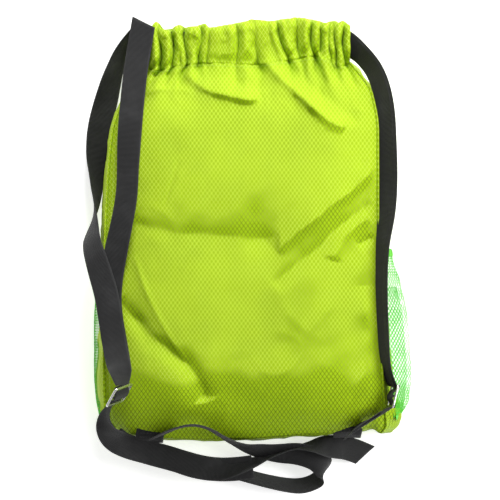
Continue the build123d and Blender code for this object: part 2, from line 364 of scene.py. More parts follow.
# The elastic's paler green is its rubbed wear and also its painted rib highlight.
elastic_cloth = webbing_material("elastic", (0.14, 0.62, 0.05), (0.22, 0.80, 0.10), rib=2.0)
lime_thread = thread_material("lime_thread", (0.62, 0.86, 0.10), (0.40, 0.60, 0.03))
black_thread = thread_material("black_thread", (0.05, 0.05, 0.05), (0.02, 0.02, 0.02))
nickel = metal_material("nickel")


# ---- the webbing routes, in metres ----
def centreline(route, steps=14):
    """The points of a smooth line with the route as its control points."""
    data = bpy.data.curves.new("line", "CURVE")
    data.dimensions = "3D"
    spline = data.splines.new("NURBS")
    spline.points.add(len(route) - 1)
    for point, place in zip(spline.points, route):
        point.co = (*place, 1)
    spline.order_u = 3
    spline.use_endpoint_u = True
    spline.resolution_u = steps
    holder = bpy.data.objects.new("line", data)
    mesh = bpy.data.meshes.new_from_object(holder)
    points = np.array([v.co for v in mesh.vertices], float).reshape(-1, 3)
    bpy.data.objects.remove(holder)
    bpy.data.curves.remove(data)
    bpy.data.meshes.remove(mesh)
    return points


def run_of(points):
    """Distance along a line of points."""
    return np.concatenate([[0], np.cumsum(np.linalg.norm(np.diff(points, axis=0), axis=1))])


# The webbing's cross-section: the place across it, from -1 to 1, and the share of its thickness there.
SECTION = [
    (-1, 0.35), (-0.97, 0.8), (-0.88, 1), (-0.6, 0.93), (-0.3, 0.93), (0, 0.93),
    (0.3, 0.93), (0.6, 0.93), (0.88, 1), (0.97, 0.8), (1, 0.35),
]
CUP = 0.0004  # its edges stand this far above its middle
CUT_REACH = 0.02  # a slanting cut moves the last 20 mm of a run


def ribbon(name, points, rolls=(), lies=(), width=WIDE, start_cut=(0, 0), end_cut=(0, 0)):
    """Flat webbing along a line. rolls is (share of the length, degrees): 0 lies flat, 90 is on edge.
    lies is (share, direction across the webbing) instead, for a run that turns over on itself.
    A cut moves an end's two corners along the run, for a slanting end."""
    run = run_of(points)
    total = run[-1]
    tangent = np.gradient(points, run, axis=0)
    tangent /= np.linalg.norm(tangent, axis=1)[:, None]
    if lies:
        shares = [m[0] for m in lies]
        across = np.stack([smooth_at(shares, [m[1][k] for m in lies], run / total) for k in range(3)], 1)
        across -= tangent * np.sum(across * tangent, axis=1)[:, None]
        across /= np.linalg.norm(across, axis=1)[:, None]
    else:
        level = np.cross(tangent, (0, 0, 1))
        level /= np.linalg.norm(level, axis=1)[:, None] + 1e-12
        upward = np.cross(level, tangent)
        angle = np.radians(table_at(rolls, 1, run / total))[:, None]
        across = level * np.cos(angle) + upward * np.sin(angle)
    normal = np.cross(across, tangent)
    ring = [(m, THICK / 2 * h) for m, h in SECTION] + [(m, -THICK / 2 * h) for m, h in SECTION[::-1]]
    verts, weave = [], []
    for i, point in enumerate(points):
        near_start = max(0, 1 - run[i] / CUT_REACH)
        near_end = max(0, 1 - (total - run[i]) / CUT_REACH)
        for m, h in ring:
            slide = near_start * (start_cut[0] * (1 - m) + start_cut[1] * (1 + m)) / 2
            slide += near_end * (end_cut[0] * (1 - m) + end_cut[1] * (1 + m)) / 2
            place = point + across[i] * (m * width / 2) + normal[i] * (h + CUP * m * m)
            verts.append(place + tangent[i] * slide)
            weave.append((m * HALF_WIDE, (run[i] + slide) / MM, 0))
    count = len(ring)
    faces = tube_faces(len(points), count, flip=True)
    last = (len(points) - 1) * count
    for k in range(len(SECTION) - 1):
        faces.append((k, k + 1, count - 2 - k, count - 1 - k))
        faces.append((last + count - 1 - k, last + count - 2 - k, last + k + 1, last + k))
    return add_mesh(name, verts, faces, weave)


def strap(node, route, rolls=(), far_end=None, steps=14, follows=None, **shape):
    """A webbing run that stands for its CAD node. far_end, given for one long enough to be a cord, is not
    used.
    follows is (slider, where the run is still the bag's, where it is the slider's)."""
    points = centreline(route, steps)
    piece = ribbon(node.replace("_", "."), points, rolls, **shape)
    dress(piece, None if follows else "bag", webbing_cloth, [node])
    if follows:
        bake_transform(piece)
    return piece


LEFT_STRAP_INNER = [
    (-0.1105, 0.2145, 0.046), (-0.1145, 0.190, 0.050), (-0.1185, 0.165, 0.059),
    (-0.1215, 0.134, 0.071), (-0.124, 0.104, 0.078), (-0.1255, 0.070, 0.082),
    (-0.1265, 0.036, 0.084), (-0.1315, 0.008, 0.083), (-0.1385, -0.024, 0.079),
    (-0.1442, -0.052, 0.0732), (-0.1456, -0.080, 0.071), (-0.1405, -0.112, 0.072),
    (-0.1360, -0.134, 0.080), (-0.1330, -0.146, 0.088),
]
LEFT_STRAP_OUTER = [
    (-0.1195, 0.205, 0.018), (-0.134, 0.188, 0.017), (-0.1435, 0.162, 0.015),
    (-0.151, 0.132, 0.014), (-0.158, 0.105, 0.014), (-0.160, 0.078, 0.014),
    (-0.1605, 0.050, 0.016), (-0.161, 0.024, 0.026), (-0.165, 0.002, 0.044),
    (-0.165, -0.014, 0.066), (-0.1575, -0.037, 0.078), (-0.1472, -0.070, 0.0785),
    (-0.1420, -0.108, 0.0785), (-0.1370, -0.133, 0.088), (-0.1325, -0.149, 0.0985),
    (-0.1310, -0.1604, 0.0984),
]
LEFT_TAIL = [
    (-0.1412, -0.1788, 0.0869), (-0.1465, -0.191, 0.079), (-0.1485, -0.206, 0.066),
    (-0.1425, -0.2185, 0.052), (-0.1275, -0.2265, 0.042), (-0.106, -0.2325, 0.036),
    (-0.081, -0.239, 0.033), (-0.055, -0.2485, 0.031), (-0.028, -0.251, 0.031),
    (0.002, -0.2445, 0.031), (0.028, -0.2345, 0.031), (0.050, -0.2275, 0.031),
    (0.070, -0.2265, 0.030), (0.088, -0.227, 0.024), (0.104, -0.229, 0.012),
    (0.1205, -0.2365, 0.004),
]
LEFT_LOWER_RUN = [
    (-0.0945, -0.2155, 0.046), (-0.088, -0.2115, 0.066), (-0.076, -0.206, 0.079),
    (-0.060, -0.202, 0.082), (-0.044, -0.206, 0.076), (-0.029, -0.215, 0.062),
    (-0.014, -0.2235, 0.044), (0.006, -0.2305, 0.030), (0.028, -0.2345, 0.026),
    (0.050, -0.234, 0.027), (0.068, -0.239, 0.026), (0.0770, -0.2470, 0.021),
    (0.0780, -0.2550, 0.0135), (0.0710, -0.2630, 0.0115), (0.056, -0.2690, 0.0120),
    (0.040, -0.2685, 0.0125), (0.014, -0.263, 0.0135), (-0.012, -0.2558, 0.0135),
    (-0.040, -0.2480, 0.0140),
]
LEFT_UPPER_RUN = [
    (0.003, -0.2480, 0.0276), (-0.022, -0.2515, 0.0276), (-0.050, -0.2490, 0.0276),
    (-0.078, -0.2405, 0.0286), (-0.104, -0.2335, 0.031), (-0.1265, -0.2265, 0.036),
    (-0.1375, -0.2205, 0.042), (-0.1425, -0.2155, 0.046),
]
RIGHT_STRAP_OUTER = [
    (0.098, 0.196, 0.033), (0.109, 0.190, 0.035), (0.1205, 0.179, 0.042),
    (0.1305, 0.1655, 0.048), (0.1375, 0.148, 0.054), (0.1415, 0.124, 0.059),
    (0.1425, 0.092, 0.063), (0.1435, 0.056, 0.065), (0.142, 0.022, 0.068),
    (0.1375, -0.004, 0.069), (0.135, -0.034, 0.069), (0.135, -0.074, 0.069),
    (0.137, -0.112, 0.068), (0.1395, -0.138, 0.067), (0.1445, -0.154, 0.064),
    (0.1500, -0.1635, 0.0615),
]
RIGHT_STRAP_INNER = [(x - 0.0024, y, z - 0.0022) for x, y, z in RIGHT_STRAP_OUTER]
RIGHT_ADJUSTER = [
    (0.104, -0.2115, 0.050), (0.108, -0.2085, 0.057), (0.115, -0.2040, 0.064),
    (0.124, -0.1985, 0.068), (0.134, -0.1925, 0.067), (0.1415, -0.1875, 0.065),
    (0.1460, -0.1845, 0.0635),
]
RIGHT_TAIL = [
    (0.135, -0.1900, 0.0650), (0.126, -0.1958, 0.066), (0.117, -0.2018, 0.065),
    (0.109, -0.2075, 0.061),
]

LEFT_STRAPS_FOLLOW = ("left_slider", (-0.1442, -0.052, 0.078), (-0.1330, -0.142, 0.078))
LEFT_TAIL_FOLLOWS = ("left_slider", (-0.1412, -0.220, 0.045), (-0.1412, -0.183, 0.083))
RIGHT_STRAPS_FOLLOW = ("right_slider", (0.137, -0.060, 0.068), (0.147, -0.150, 0.068))
RIGHT_ADJUSTER_FOLLOWS = ("right_slider", (0.112, -0.206, 0.064), (0.144, -0.186, 0.064))
RIGHT_TAIL_FOLLOWS = ("right_slider", (0.109, -0.2075, 0.064), (0.144, -0.186, 0.064))
FLAT = [(0, 0), (1, 0)]
RIGHT_UPPER_ROLLS = [(0, -16), (0.07, -46), (0.16, -50), (0.3, -43), (0.45, -41), (0.54, -42)]

strap(
    "left_strap_inner", LEFT_STRAP_INNER,
    [(0, 0), (0.3, -6), (0.45, -26), (0.6, -22), (0.7, -8), (0.9, 4), (1, 34)],
    "object", start_cut=(0.0035, -0.0045), follows=LEFT_STRAPS_FOLLOW,
)
strap(
    "left_strap_outer", LEFT_STRAP_OUTER,
    [(0, 60), (0.08, 52), (0.16, 28), (0.24, 4), (0.32, 18), (0.39, 50), (0.46, 74),
     (0.50, 90), (0.54, 112), (0.60, 140), (0.67, 160), (0.76, 178), (0.93, 186), (1, 240)],
    "object", follows=LEFT_STRAPS_FOLLOW,
)
strap(
    "left_tail", LEFT_TAIL,
    [(0, -113), (0.03, -88), (0.07, -48), (0.12, -18), (0.20, 0), (0.48, 4), (0.56, 44), (0.62, 66),
     (0.68, 84), (0.74, 90), (0.8, 70), (0.87, 20), (0.93, 4), (1, 0)],
    "bare", end_cut=(0.006, -0.006), follows=LEFT_TAIL_FOLLOWS,
)
strap(
    "left_lower_run", LEFT_LOWER_RUN, far_end="object",
    lies=[(0, (0.08, 0.10, 1)), (0.12, (0.05, 0.10, 1)), (0.24, (0.02, 0.10, 1)), (0.34, (0, 0.22, 1)),
          (0.42, (0, 0.60, 0.8)), (0.49, (0.05, 0.85, 0.55)), (0.56, (0.25, 0.95, 0.25)),
          (0.63, (0.42, 0.90, 0.0)), (0.70, (0.30, 0.62, -0.6)), (0.78, (0.12, 0.52, -0.82)),
          (0.88, (0.05, 0.50, -0.86)), (1, (0.05, 0.50, -0.86))],
)
strap("left_upper_run", LEFT_UPPER_RUN, FLAT, "object")
strap(
    "right_strap_outer", RIGHT_STRAP_OUTER,
    RIGHT_UPPER_ROLLS + [(0.62, -52), (0.85, -58), (0.95, -70), (1, -80)],
    "object", follows=RIGHT_STRAPS_FOLLOW,
)
strap(
    "right_strap_inner", RIGHT_STRAP_INNER,
    RIGHT_UPPER_ROLLS + [(0.62, -48), (0.85, -50), (0.95, -66), (1, -78)],
    "object", follows=RIGHT_STRAPS_FOLLOW,
)
strap(
    "right_adjuster_webbing", RIGHT_ADJUSTER, [(0, 80), (0.3, 84), (0.7, 88), (1, 86)],
    follows=RIGHT_ADJUSTER_FOLLOWS,
)
strap("right_tail", RIGHT_TAIL, [(0, 84), (1, 87)], steps=8, follows=RIGHT_TAIL_FOLLOWS)

# ---- the bag's shape, in mm ----
# Each station goes across the bag: its y, where its feet and upper edges are, and their heights.
Y, FOOT_LEFT, FOOT_RIGHT, EDGE_LEFT, EDGE_RIGHT, EDGE_HEIGHT, CROWN_HEIGHT = range(7)
STATIONS = [
    (-214, -146, 148, -140, 136, 34, 44), (-205, -151, 154, -147, 141, 41, 57),
    (-185, -154, 152, -150, 139, 52, 72), (-140, -154, 146, -151, 136, 61, 83),
    (-60, -153, 138, -151, 134, 62, 84), (30, -150, 134, -148, 132, 62, 84),
    (100, -143, 133, -142, 132, 58, 77), (140, -129, 128, -128, 126, 50, 62),
    (176, -106, 104, -106, 103, 36, 39.5),
]
BOTTOM_EDGE = [
    (-146, -204), (-132, -211), (-119, -214), (-91, -217), (-40, -218.5), (0, -218), (52, -214),
    (84, -212), (112, -209), (122, -206.5), (128, -208), (135, -212.5), (142, -212), (150, -205),
]
# Pleats under the drawstring: place, depth, half width, and how far each leans across over its height.
PLEATS = [
    (-103, 4.0, 3.0, 0), (-93.6, 5.5, 2.6, 0), (-82.2, 5.5, 2.4, 2), (-74, 2.5, 2.0, 0),
    (-67.6, 5.0, 3.0, 1), (-52, 4.5, 2.6, -1), (-45, 1.6, 4.0, 0), (-13.5, 2.6, 3.5, 0),
    (3, 1.6, 5.0, 6), (27, 4.2, 2.8, 12), (46.8, 3.0, 4.0, 6), (64.5, 5.5, 2.6, 1),
    (74.9, 4.0, 2.6, -4), (83, 3.4, 2.0, 0), (88.4, 4.5, 2.2, 0), (96.7, 5.0, 2.4, 2),
]
NECK_Y = 176
MOUTH_Y = 217
SEAM = [
    (-112, 168), (-92, 166), (-70, 171), (-49, 173.5), (0, 171.5), (39, 176.5), (72, 181), (94, 170),
    (104, 174),
]


def pleats(x, y):
    """Height and sideways pull of the gathers, which fade down the panel below the stitching."""
    total = np.zeros(np.broadcast(x, y).shape)
    shift = np.zeros_like(total)
    below = np.clip(NECK_Y - y, 0, None)
    for place, depth, half, lean in PLEATS:
        middle = place + lean * np.clip((MOUTH_Y - y) / (MOUTH_Y - NECK_Y), 0, 1)
        middle = middle + 1.6 * np.sin(y / 9 + place) * np.clip((y - NECK_Y + 20) / 20, 0, 1)
        depth = depth * (1 + 0.35 * np.sin(y / 7 + 2 * place))
        spread = half * (1 + below / 22)
        near = (x - middle * (1 + below / 260)) / spread
        fade = np.exp(-((below / (10 * half)) ** 1.3))
        total -= 1.9 * depth * np.exp(-(np.abs(near) ** 1.3)) * fade
        total += 0.7 * depth * np.exp(-(((np.abs(near) - 2.1) / 0.9) ** 2)) * fade
        shift -= 0.42 * near * np.exp(-(near**2) / 2) * spread * fade
    return total, shift


# Folds on the back panel, in mm: line, height, spread on its left side and on its right, going along it.
FOLDS = [
    ([(-62, 184), (-70, 166), (-60, 153), (-46, 144.6), (-22, 137), (2, 132), (10, 140)], 4.2, 12, 4),
    ([(-5, 197), (12, 185), (22, 167), (33, 155), (48, 141), (64, 126), (79, 114), (99, 103)], 5.4, 9, 5),
    ([(-3, 186), (10, 170), (16, 158)], -3.4, 5, 5),
    ([(-108, 141), (-92, 144), (-82, 153), (-74, 170)], 2.0, 4, 4),
    ([(70, 183), (80, 175), (97, 166)], 2.6, 4, 6),
    ([(36, 174), (60, 152), (92, 128), (112, 108)], -2.6, 9, 9),
    ([(-122, 9), (-98, -5), (-50, -8), (0, -10.4), (30, -10)], -2.6, 12, 22),
    ([(131, 70), (117, 49), (104, 38), (88, 27), (72, 13), (58, 2), (44, -9), (28, -23)], 2.4, 5, 12),
    ([(127, 26), (108, 14), (92, 2), (73, -17), (58, -30), (40, -44), (24, -58)], -1.8, 8, 8),
    ([(-58, 171), (-32, 159), (-6, 152)], -2.0, 8, 8),
    ([(124, 13), (106, 1), (92, -15), (86, -32)], 1.6, 7, 9),
    ([(126, -8), (112, -17)], -1.8, 4, 4),
    ([(24, -58), (32, -76), (42, -92), (59, -106), (66, -100), (83, -79), (106, -48), (124, -30)],
     0.9, 10, 12),
    ([(-136, -74), (-104, -110), (-72, -133), (-52, -155), (-45, -178)], -4.2, 9, 12),
    ([(-120, -27), (-104, -74), (-78, -120), (-66, -136)], 1.0, 2.5, 3.5),
    ([(-73, 72), (-88, 25)], -0.8, 1.2, 1.2),
    ([(-128, 120), (-118, 70), (-126, 10)], 1.4, 8, 10),
    ([(118, -60), (122, -120), (112, -170), (84, -205)], 1.8, 8, 10),
]
BULGES = [((-75, -172), 3.4, 26), ((-24, 152), 1.6, 16), ((40, -60), 1.4, 34), ((20, 70), 1.2, 60)]


def folds(x, y):
    total = np.zeros(np.shape(x))
    uneven = 1 + 0.5 * soft_noise(np.stack([x, y, x * 0], -1), 24, 15.0)
    for line, height, left, right in FOLDS:
        gap, side, share = distance_to(x, y, smooth_line(line))
        spread = np.where(side > 0, left, right)
        ends = np.clip(np.minimum(share, 1 - share) / 0.3, 0, 1)
        soft = np.sqrt((gap / spread) ** 2 + 0.02) - math.sqrt(0.02)
        total += 1.5 * height * np.exp(-1.15 * soft**1.25) * ends * (2 - ends) * uneven
    for (px, py), height, size in BULGES:
        total += height * np.exp(-(((x - px) ** 2 + (y - py) ** 2) / size**2))
    return total


def back_surface(x_share, y_row):
    """Points of the back panel: x_share from 0 at the left edge to 1 at the right, y_row in mm."""
    left, right = table_at(STATIONS, EDGE_LEFT, y_row), table_at(STATIONS, EDGE_RIGHT, y_row)
    edge, crown = table_at(STATIONS, EDGE_HEIGHT, y_row), table_at(STATIONS, CROWN_HEIGHT, y_row)
    x = left + (right - left) * x_share
    across = 1 - np.abs(2 * x_share - 1) ** 4
    z = edge + (crown - edge) * across
    drop = np.clip(1 - (y_row - STATIONS[0][Y]) / 46, 0, 1) ** 2
    edge_y = table_at(BOTTOM_EDGE, 1, x)
    y = y_row + drop * (edge_y - STATIONS[0][Y])
    rise = np.clip(1 - (NECK_Y - y_row) / 50, 0, 1) ** 2
    y = y + rise * (table_at(SEAM, 1, x) - NECK_Y)
    place = np.stack([x, y, z], axis=-1)
    inner = np.clip(np.minimum(x_share, 1 - x_share) / 0.05, 0, 1)
    calm = 0.25 + 0.75 * inner * (2 - inner)
    lift = folds(x, y) * calm
    gather, shift = pleats(x, y_row)
    lift += gather * np.clip(np.minimum(x_share, 1 - x_share) / 0.02, 0.3, 1)
    place[..., 0] += shift * np.clip(np.minimum(x_share, 1 - x_share) / 0.04, 0, 1)
    flat = place * (1, 1, 0)
    lift += calm * (1.3 * soft_noise(flat, 55, 3.1) + 0.55 * soft_noise(flat, 21, 7.7))
    lift += calm * 0.6 * crumple(flat, 46, 11.3) * np.clip(soft_noise(flat, 90, 5.5) + 0.35, 0, 1)
    lift += calm * 1.2 * crumple(flat, 19, 23.7) * np.clip((y - 96) / 50, 0, 1)
    place[..., 2] += lift
    return place


ROWS, COLUMNS = 216, 156
BOTTOM_Y = STATIONS[0][Y]
row_y = np.linspace(BOTTOM_Y, NECK_Y, ROWS)[:, None] * np.ones((1, COLUMNS))
share = np.ones((ROWS, 1)) * np.linspace(0, 1, COLUMNS)[None]
back = back_surface(share, row_y)
back_weave = back[..., :2].copy()
cloth_piece("panel.back", back, back_weave, ["back_panel"])

# ---- underside, sides and bottom, in mm ----
FOOT_HEIGHT = 1.4
THIN_CLOTH = 0.0006  # the thickness of the underside and of the seams, in metres
LEVELS = 34
foot_left = table_at(STATIONS, FOOT_LEFT, row_y)
foot_right = table_at(STATIONS, FOOT_RIGHT, row_y)


def front_panel():
    """The underside: nearly flat on the ground, and turned up a little at its edges."""
    front = np.zeros_like(back)
    front[..., 0] = foot_left + (foot_right - foot_left) * share
    front[..., 1] = row_y + (back[..., 1] - row_y) * 0.8
    rim = np.clip(1 - np.minimum(share, 1 - share) / 0.04, 0, 1)
    front[..., 2] = 0.8 + 1.6 * rim**2 + 0.5 * (1 + soft_noise(front * (1, 1, 0), 30, 21.0))
    cloth_piece(
        "panel.front", front[::2, ::2], back_weave[::2, ::2], ["front_panel"],
        flip=True, thick=THIN_CLOTH,
    )


def upright(top, foot):
    """A strip of cloth from foot to top, and how freely each level of it swells: 0 at both edges."""
    up = np.linspace(0, 1, LEVELS)[None, :, None]
    return foot[:, None] * (1 - up) + top[:, None] * up, np.sin(np.pi * up[..., 0]) ** 0.8


def side_wall(top, foot, side, bottom_swell, swell_y, swell_long):
    """The strip of cloth from the underside's edge up to the back panel's edge."""
    wall, round_out = upright(top, foot)
    y = wall[..., 1]
    swell = 3.0 + bottom_swell * np.exp(-(((y - swell_y) / swell_long) ** 2))
    swell = swell + 1.5 * np.exp(-(((y + 40) / 90) ** 2))
    round_out = round_out * np.clip((row_y[:, :1] - BOTTOM_Y) / 16, 0, 1) ** 0.5
    wall[..., 0] += side * swell * round_out
    low_half = np.clip((60 - y) / 80, 0.35, 1)
    waves = 2.4 * soft_noise(wall * (0.4, 1, 1), 26, 31.0 + side) + 1.6 * crumple(wall, 30, 41.0 + side)
    gather = np.clip((y - 130) / 46, 0, 1) ** 2 * 2.0 * np.sin(y / 2.4 + wall[..., 2] / 14)
    wall[..., 0] += side * (waves * low_half + gather) * round_out
    wall[..., 1] += 1.5 * soft_noise(wall, 24, 51.0) * round_out
    return wall


def gusset(side, name, swell):
    """One side of the bag, with the turned edge of its seam along the top."""
    top = back[:, 0 if side < 0 else -1]
    foot_x = (foot_left if side < 0 else foot_right)[:, 0]
    foot_y = top[:, 1] * 0.98 + row_y[:, 0] * 0.02
    foot = np.stack([foot_x, foot_y, np.full(ROWS, FOOT_HEIGHT)], axis=-1)
    wall = side_wall(top, foot, side, *swell)
    flat = np.stack([wall[..., 2] * 1.1 + 160, wall[..., 1]], axis=-1)
    cloth_piece(f"gusset.{name}", wall, flat, [f"{name}_gusset"], flip=side < 0)
    lip_width, lip_columns = 2.2, 6
    ridge = top + (side * 0.3, 0, 0.4)
    lip = np.stack(
        [ridge + (side * lip_width * t * 0.5, 0, lip_width * math.sin(t * math.pi) * 0.45)
         for t in np.linspace(-0.6, 1, lip_columns)], axis=1,
    )
    lip_across = np.ones((ROWS, 1)) * np.linspace(0, 4, lip_columns)[None]
    flat = np.stack([lip_across, row_y[:, :lip_columns]], axis=-1)
    cloth_piece(f"seam.{name}", lip, flat, flip=side > 0, thick=THIN_CLOTH)


def bottom_panel():
    """The bag's closed end, swollen between its seams."""
    top = back[0]
    foot_x = np.linspace(foot_left[0, 0], foot_right[0, 0], COLUMNS)
    foot = np.stack([foot_x, top[:, 1] + 1, np.full(COLUMNS, FOOT_HEIGHT)], -1)
    end, swell = upright(top, foot)
    swell = swell * np.clip(np.minimum(share[0], 1 - share[0])[:, None] / 0.05, 0, 1) ** 0.5
    end[..., 1] -= swell * (2.4 + 1.6 * soft_noise(end, 34, 61.0) + 1.5 * crumple(end, 36, 71.0))
    flat = np.stack([end[..., 0], end[..., 2] * 1.1 - 260], -1)
    cloth_piece("panel.bottom", end, flat, ["bottom_panel"], flip=True)


front_panel()
gusset(-1, "left", (4.2, -160, 32))
gusset(1, "right", (7.0, -192, 22))
bottom_panel()

# ---- drawstring channels: a folded hem with a ruffled top edge ----
TOP_EDGE = [
    (-112, 214), (-104, 212), (-97, 216), (-90, 208), (-82, 208.5), (-74, 213), (-66, 210),
    (-60, 211), (-52, 212.5), (-47, 214), (-42, 210), (-28, 212), (-13, 214.6), (5, 218.4),
    (22, 217), (36, 219), (50, 220.4), (64, 218.4), (72, 216.5), (78, 214.8), (88, 217),
    (93, 215), (97, 217.5), (101, 214.5), (105, 211),
]
HEM_COLUMNS, HEM_ROWS = 230, 40


def hem(low, high, left, right, seed, raise_edge):
    """A flattened tube open at both ends. It starts and ends at the stitching."""
    x = np.linspace(left, right, HEM_COLUMNS)[:, None] * np.ones((1, HEM_ROWS))
    turn = np.linspace(0, 1, HEM_ROWS)[None] * np.ones((HEM_COLUMNS, 1))
    top = table_at(TOP_EDGE, 1, x) + raise_edge
    middle_z = (low + high) / 2
    face = np.where(turn < 0.5, 1, -1)
    run = 1 - np.abs(2 * turn - 1)
    seam = table_at(SEAM, 1, x)
    y = seam + (top - seam) * run
    opened = 0.5 + 0.5 * np.sin(np.clip(run / 0.3, 0, 1) * math.pi / 2)
    body = np.clip((1 - run) / 0.16, 0, 1) ** 0.6 * opened
    half = (high - low) / 2
    z = middle_z + face * half * body
    joined = (1 - np.clip(run / 0.3, 0, 1)) ** 2 * (turn < 0.5)
    folded, shift = pleats(x + seed * 3, y)
    ruffle = np.clip(run - 0.75, 0, 1) * 4
    strength = np.where(face > 0, 1.0, 0.45)
    z = z + folded * strength * (1 - 0.25 * run)
    if raise_edge == 0:
        # The back channel is sewn to the back panel.
        panel_z = np.interp(x, back[-1, :, 0], back[-1, :, 2])
        z = z * (1 - joined) + (panel_z - 0.5) * joined
        y = y - 1.5 * joined
    z += ruffle * 1.6 * np.sin(x / 2.1 + seed) * np.clip(np.abs(x) / 60, 0, 1)
    y = y + ruffle * (1.3 * soft_noise(np.stack([x, y * 0, z * 0], -1), 5, seed + 9.0))
    place = np.stack([x, y, z], -1)
    place[..., 2] += 0.5 * soft_noise(place, 9, seed) + 0.9 * crumple(place, 13, seed + 17.0) * strength
    place[..., 0] += 1.2 * soft_noise(place, 11, seed + 4.0) * run + shift
    weave = np.stack([x * 1.35, face * (y - seam) + NECK_Y], -1)
    return place, weave


for name, low, high, left, right, seed, lift in (
    ("back", 26.5, 40, -109, 104, 0.0, 0.0), ("front", 3.5, 13.5, -106, 103, 2.0, 1.5),
):
    place, weave = hem(low, high, left, right, seed, lift)
    cloth_piece(f"channel.{name}", place, weave, [f"{name}_channel"])

# The drawstrings inside the channels are gathered webbing.
CHANNEL_Y = 194
for name, z in (("back", 33.0), ("front", 7.0)):
    line = np.array([
        (x, CHANNEL_Y + 1.2 * math.sin(x / 17), z + 0.8 * math.sin(x / 6))
        for x in np.linspace(-112, 107, 90)
    ])
    piece = ribbon(f"drawstring.{name}", line * MM, FLAT, width=0.021)
    dress(piece, "bag", webbing_cloth, [f"{name}_drawstring"])


# ---- stitching: short raised threads along a line of points, in mm ----
def stitches(name, line, material, lift=0.25):
    pitch, length, radius = 3.2, 2.3, 0.35
    outline = ((0.0, 0.3), (0.15, 0.9), (0.5, 1.0), (0.85, 0.9), (1.0, 0.3))  # share along, share of radius
    around = 6
    line = np.asarray(line, float)
    run = run_of(line)
    tube = tube_faces(len(outline), around)
    last = (len(outline) - 1) * around
    verts, faces = [], []
    for start in np.arange(pitch / 2, run[-1] - length, pitch):
        ends = [np.array([np.interp(start + t, run, line[:, k]) for k in range(3)]) for t in (0, length)]
        along = (ends[1] - ends[0]) / (np.linalg.norm(ends[1] - ends[0]) + 1e-9)
        side = np.cross(along, (0, 0, 1))
        side /= np.linalg.norm(side) + 1e-9
        normal = np.cross(side, along)
        first = len(verts)
        for t, scale in outline:
            centre = ends[0] * (1 - t) + ends[1] * t + normal * (lift * math.sin(math.pi * t) - 0.1)
            for k in range(around):
                a = k * math.pi / 3
                verts.append(centre + (side * math.cos(a) + normal * math.sin(a)) * radius * scale)
        faces += [tuple(first + v for v in face) for face in tube]
        faces.append(tuple(first + k for k in range(around - 1, -1, -1)))
        faces.append(tuple(first + last + k for k in range(around)))
    obj = add_mesh(name, np.array(verts) * MM, faces)
    return dress(obj, "bag", material)


stitches("stitching.channel", back[-3] + (0, 0, 0.4), lime_thread)
stitches("stitching.left", back[:-4, 3] + (0, 0, 0.3), lime_thread)


# ---- mesh pockets: a knotted diamond net on each side, with an elastic rim ----
POCKET = [
    (-198, -158, 156), (-177, -162, 166.5), (-152, -164, 169.5), (-110, -164, 167.5),
    (-57, -162, 159), (-28, -160, 149), (-20, -159, 147.5),
]
POCKET_LOW, POCKET_HIGH = 6.0, 40.0


def pocket_point(side, y, turn):
    """A point of the pocket's outer cloth: turn 0 at its lower seam on the bag, 1 at its upper seam."""
    out = table_at(POCKET, 1 if side < 0 else 2, y)
    foot = table_at(STATIONS, FOOT_LEFT if side < 0 else FOOT_RIGHT, y)
    head = table_at(STATIONS, EDGE_LEFT if side < 0 else EDGE_RIGHT, y)
    root = foot + (head - foot) * 0.35 + side * 3.2
    swing = 1 - np.abs(2 * turn - 1) ** 1.25
    x = root + (out - root) * swing
    z = POCKET_LOW + (POCKET_HIGH - POCKET_LOW) * turn
    place = np.stack([x, y, z], -1)
    wave = soft_noise(place * (0.3, 1, 0.8), 17, 80.0 + side) * (2.4 if side > 0 else 0.8) * swing
    place[..., 0] += side * (wave - 1.2 * swing)
    place[..., 2] += 2.0 * soft_noise(place, 22, 90.0 + side) * swing
    return place


NET_WIDE = 66  # the net from seam to seam before it is gathered to the bag


def net(side, name, turn_from, turn_to, inset, y_from, y_to, thread):
    """Diamond net: each opening is a face, and the wireframe leaves its threads."""
    tall, wide = 5.6, 4.2
    rows = int((y_to - y_from) / tall * 2)
    columns = int(NET_WIDE * (turn_to - turn_from) / wide * 2)
    columns -= columns % 2
    spots = {}

    def corner(i, j):
        return spots.setdefault((i, j), len(spots))

    faces = []
    for j in range(rows - 1):
        for i in range(1, columns):
            if (i + j) % 2:
                faces.append((corner(i, j), corner(i + 1, j + 1), corner(i, j + 2), corner(i - 1, j + 1)))
    ij = np.array(list(spots), float)
    y = y_from + ij[:, 1] / rows * (y_to - y_from)
    turn = turn_from + np.clip(ij[:, 0] / columns, 0, 1) * (turn_to - turn_from)
    place = pocket_point(side, y, turn)
    place[:, 0] -= side * inset
    if side < 0:
        faces = [f[::-1] for f in faces]
    obj = add_mesh(f"net.{name}", place * MM, faces)
    wire = obj.modifiers.new("threads", "WIREFRAME")
    wire.thickness = thread
    wire.use_even_offset = False
    wire.use_boundary = True
    return dress(obj, "bag", net_cloth, [f"{name}_mesh_pocket"] if inset == 0 else ())


def pocket_band(side, name, label, y_low, y_high, frill, nodes=()):
    """An elastic band around the pocket, with a frill of that height."""
    rows, columns = 90, 14
    turns = np.linspace(0, 1, rows)[:, None] * np.ones((1, columns))
    around = np.linspace(0, 2 * math.pi, columns)[None] * np.ones((rows, 1))
    mid, half = (y_low + y_high) / 2, (y_high - y_low) / 2
    place = pocket_point(side, mid + half * np.cos(around), turns)
    swell = 0.8 + frill * np.sin(turns * 170)
    place[..., 0] += side * (swell * np.sin(around) * np.sin(np.pi * turns) ** 0.3)
    place[..., 2] += 0.9 * np.sin(around) * np.cos(np.pi * turns)
    weave = np.stack([np.cos(around) * 4, turns * NET_WIDE, turns * 0], -1)
    obj = add_mesh(f"{label}.{name}", place * MM, grid_faces(rows, columns, side > 0), weave)
    dress(obj, "bag", elastic_cloth, nodes)


